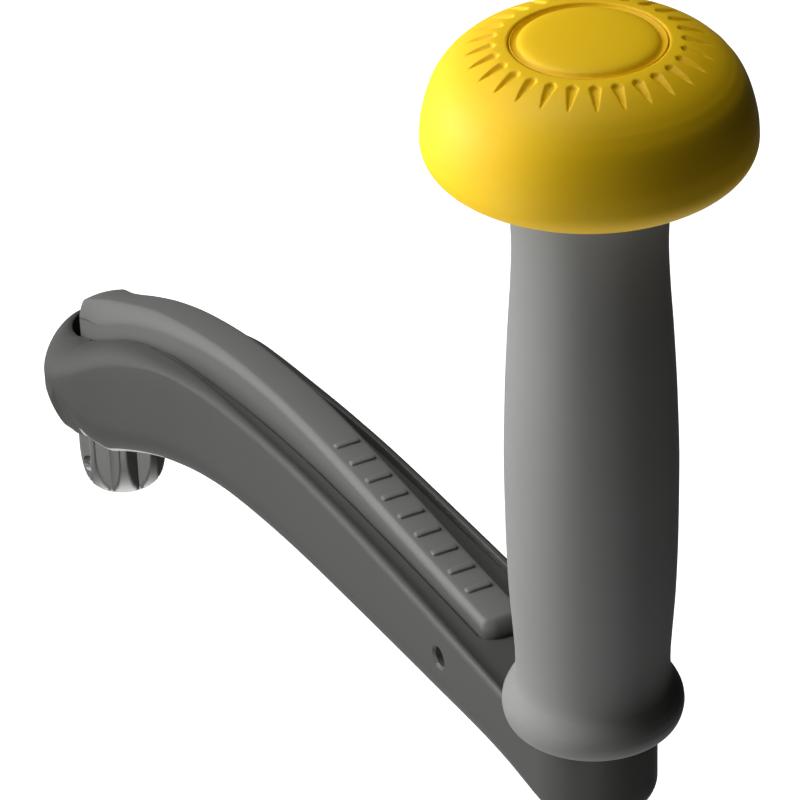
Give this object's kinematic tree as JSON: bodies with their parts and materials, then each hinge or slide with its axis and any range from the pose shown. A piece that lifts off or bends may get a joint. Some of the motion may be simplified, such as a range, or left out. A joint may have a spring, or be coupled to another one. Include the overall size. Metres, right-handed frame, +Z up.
{
  "type": "winch handle",
  "caption": "Lock-in sailing winch handle: star drive stub under a curved arm, press lever along the top, upright rotating grip with a domed palm knob",
  "frame": {"origin": "drive axis where it meets the flat seat under the head", "axes": "+X along the arm to the grip, +Z up along the grip, +Y across the arm"},
  "size_m": [0.3057, 0.0652, 0.2475],
  "materials": {
    "arm_paint": "satin powder coat on cast alloy",
    "drive_chrome": "polished chrome plate",
    "lever_plastic": "fine-textured moulded nylon",
    "grip_rubber": "soft matte overmoulded rubber",
    "knob_yellow": "satin soft-touch plastic",
    "core_plastic": "plain moulded plastic",
    "steel": "ground stainless steel"
  },
  "bodies": {
    "root": {"arm_body": "arm_paint", "drive_stub": "drive_chrome", "stub_nut": "steel", "lever_pivot_pin": "steel", "grip_spindle": "steel", "spindle_foot_washer": "steel", "spindle_foot_screw": "steel", "thrust_washer": "core_plastic", "lower_inner_race": "steel", "upper_inner_race": "steel", "spindle_top_washer": "steel", "spindle_top_screw": "steel"},
    "lever": {"press_lever": "lever_plastic", "lever_bushes": "core_plastic", "lever_wear_pad": "core_plastic"},
    "plunger": {"lock_plunger": "steel", "plunger_clip": "steel", "plunger_spring": "steel"},
    "ball_near": {"lock_ball_near": "steel"},
    "ball_far": {"lock_ball_far": "steel"},
    "grip": {"grip_core": "core_plastic", "grip_sleeve": "grip_rubber", "grip_seal": "grip_rubber", "lower_outer_race": "steel", "upper_outer_race": "steel", "bearing_circlip": "steel", "knob_core": "core_plastic", "knob_cover": "knob_yellow", "knob_cap": "knob_yellow", "knob_screws": "steel"},
    "bearing_cages": {"lower_bearing_balls": "steel", "upper_bearing_balls": "steel", "lower_bearing_cage": "core_plastic", "upper_bearing_cage": "core_plastic"}
  },
  "joints": [
    {"name": "lever_press", "type": "hinge", "parent": "root", "child": "lever", "pos_m": [0.2086, 0, 0.0576], "axis": [0, -1, 0], "range_deg": [0, 1.1], "stiffness_Nm_per_rad": 2, "springref_deg": -1.72},
    {"name": "plunger_slide", "type": "slide", "parent": "root", "child": "plunger", "axis": [0, 0, -1], "range_m": [0, 0.0041], "deforming": ["plunger_spring"]},
    {"name": "ball_near_slide", "type": "slide", "parent": "root", "child": "ball_near", "axis": [0, 1, 0], "range_m": [0, 0.0011]},
    {"name": "ball_far_slide", "type": "slide", "parent": "root", "child": "ball_far", "axis": [0, -1, 0], "range_m": [0, 0.0011]},
    {"name": "grip_spin", "type": "hinge", "parent": "root", "child": "grip", "pos_m": [0.254, 0, 0.07], "axis": [0, 0, 1], "continuous": true},
    {"name": "cage_orbit", "type": "hinge", "parent": "root", "child": "bearing_cages", "pos_m": [0.254, 0, 0.07], "axis": [0, 0, 1], "continuous": true}
  ],
  "couplings": [
    {"joint": "plunger_slide", "follows": "lever_press", "m_per_rad": 0.2086},
    {"joint": "ball_near_slide", "follows": "lever_press", "m_per_rad": 0.05215},
    {"joint": "ball_far_slide", "follows": "lever_press", "m_per_rad": 0.05215},
    {"joint": "cage_orbit", "follows": "grip_spin", "ratio": 0.56}
  ]
}
